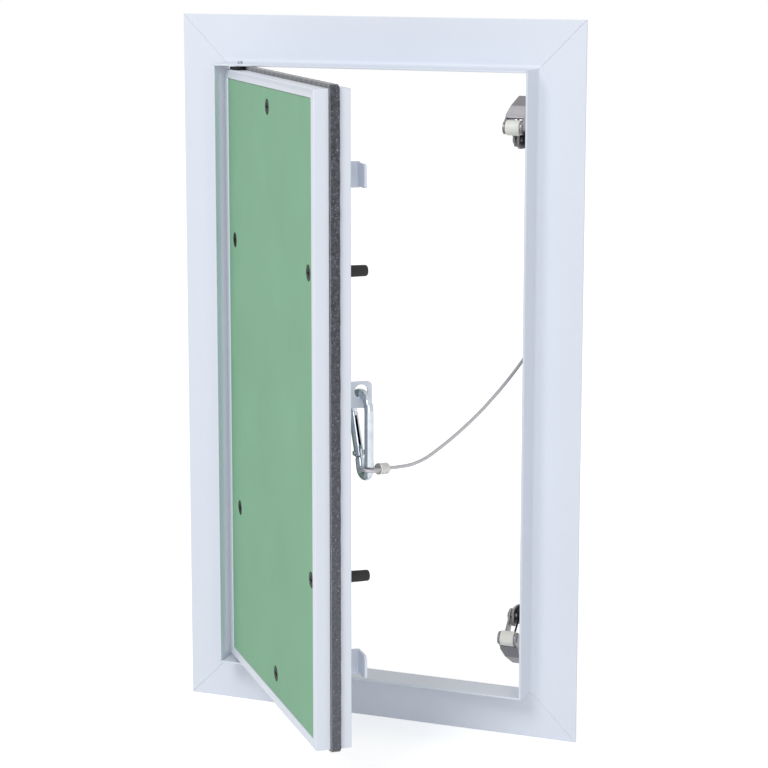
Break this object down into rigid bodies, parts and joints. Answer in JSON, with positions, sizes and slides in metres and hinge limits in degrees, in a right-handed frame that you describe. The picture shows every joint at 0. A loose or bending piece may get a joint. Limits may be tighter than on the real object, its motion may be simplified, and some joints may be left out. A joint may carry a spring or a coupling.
{
  "type": "ceiling access panel",
  "caption": "Rectangular ceiling access panel: flanged metal frame, plasterboard leaf half open on pin hinges, sprung push latches, and a safety cable with a snap hook.",
  "frame": {"origin": "middle of the front face of the frame's bottom flange, the face that the ceiling board lies against", "axes": "+Z along the panel's long side and the hinge line, +Y into the ceiling void, +X to the right seen from the room; the panel stands upright as in the picture"},
  "size_m": [0.25, 0.1836, 0.42],
  "materials": {
    "powder_coat": "satin white powder coat with a faint blue cast",
    "mill_aluminium": "mill finish, sawn ends",
    "black_steel": "black phosphate",
    "board_paper": "matt green paper face of moisture-resistant plasterboard",
    "seal_foam": "dark grey closed-cell foam",
    "black_rubber": "moulded, satin",
    "zinc_plate": "bright zinc plate",
    "stainless_sheet": "rolled stainless sheet, pressed",
    "nylon": "turned, off-white",
    "steel_cable": "stranded wire"
  },
  "bodies": {
    "root": {"frame_member_left": "powder_coat", "frame_member_right": "powder_coat", "frame_member_bottom": "powder_coat", "frame_member_top": "powder_coat", "frame_cleat_top_left": "mill_aluminium", "frame_cleat_top_right": "mill_aluminium", "frame_cleat_bottom_left": "mill_aluminium", "frame_cleat_bottom_right": "mill_aluminium", "latch_bracket_upper": "stainless_sheet", "latch_bracket_lower": "stainless_sheet", "latch_pin_upper": "stainless_sheet", "latch_pin_lower": "stainless_sheet", "latch_upper_screw": "zinc_plate", "latch_lower_screw": "zinc_plate", "latch_upper_slot_nut": "zinc_plate", "latch_lower_slot_nut": "zinc_plate", "cable": "steel_cable", "cable_lug": "zinc_plate", "cable_lug_screw": "zinc_plate", "cable_lug_slot_nut": "zinc_plate"},
    "leaf": {"leaf_member_left": "powder_coat", "leaf_member_right": "powder_coat", "leaf_member_bottom": "powder_coat", "leaf_member_top": "powder_coat", "leaf_key_top_left": "mill_aluminium", "leaf_key_top_right": "mill_aluminium", "leaf_key_bottom_left": "mill_aluminium", "leaf_key_bottom_right": "mill_aluminium", "leaf_board": "board_paper", "leaf_seal": "seal_foam", "board_screw_top": "black_steel", "board_screw_upper_left": "black_steel", "board_screw_upper_right": "black_steel", "board_screw_lower_left": "black_steel", "board_screw_lower_right": "black_steel", "board_screw_bottom": "black_steel", "screw_cap_top": "black_rubber", "screw_cap_upper_left": "black_rubber", "screw_cap_upper_right": "black_rubber", "screw_cap_lower_left": "black_rubber", "screw_cap_lower_right": "black_rubber", "screw_cap_bottom": "black_rubber", "hinge_pin_bottom": "black_steel", "hinge_pin_top": "black_steel", "strike_hook_upper": "powder_coat", "strike_hook_lower": "powder_coat", "hookup_bracket": "powder_coat", "cable_eye": "steel_cable"},
    "snap_hook": {"snap_hook": "zinc_plate", "snap_gate_rivet": "zinc_plate"},
    "snap_gate": {"snap_gate": "zinc_plate"},
    "claw_upper": {"latch_claw_upper": "stainless_sheet", "latch_axle_upper": "stainless_sheet", "latch_spring_upper": "black_steel"},
    "claw_lower": {"latch_claw_lower": "stainless_sheet", "latch_axle_lower": "stainless_sheet", "latch_spring_lower": "black_steel"},
    "roller_upper": {"latch_roller_upper": "nylon"},
    "roller_lower": {"latch_roller_lower": "nylon"}
  },
  "joints": [
    {"name": "leaf_hinge", "type": "hinge", "parent": "root", "child": "leaf", "pos_m": [-0.0823, -0.0122, 0.196], "axis": [0, 0, 1], "range_deg": [-25, 50.1], "deforming": ["cable"]},
    {"name": "snap_hook_twist", "type": "hinge", "parent": "leaf", "child": "snap_hook", "pos_m": [0.03637, -0.11437, 0.2093], "axis": [0, 0, 1], "range_deg": [-7, 7]},
    {"name": "snap_gate_hinge", "type": "hinge", "parent": "snap_hook", "child": "snap_gate", "pos_m": [0.03481, -0.11311, 0.1759], "axis": [0.6307, 0.776, 0], "range_deg": [0, 22], "stiffness_Nm_per_rad": 0.02, "springref_deg": -28.65},
    {"name": "claw_upper_pivot", "type": "hinge", "parent": "root", "child": "claw_upper", "pos_m": [0.0804, 0.0264, 0.3358], "axis": [1, 0, 0], "range_deg": [0, 46.6], "stiffness_Nm_per_rad": 0.02, "springref_deg": -34.38},
    {"name": "claw_lower_pivot", "type": "hinge", "parent": "root", "child": "claw_lower", "pos_m": [0.0804, 0.0264, 0.0508], "axis": [-1, 0, 0], "range_deg": [0, 46.6], "stiffness_Nm_per_rad": 0.02, "springref_deg": -34.38},
    {"name": "roller_upper_spin", "type": "hinge", "parent": "claw_upper", "child": "roller_upper", "pos_m": [0.0804, 0.0069, 0.3442], "axis": [1, 0, 0], "continuous": true},
    {"name": "roller_lower_spin", "type": "hinge", "parent": "claw_lower", "child": "roller_lower", "pos_m": [0.0804, 0.0069, 0.0424], "axis": [1, 0, 0], "continuous": true}
  ]
}
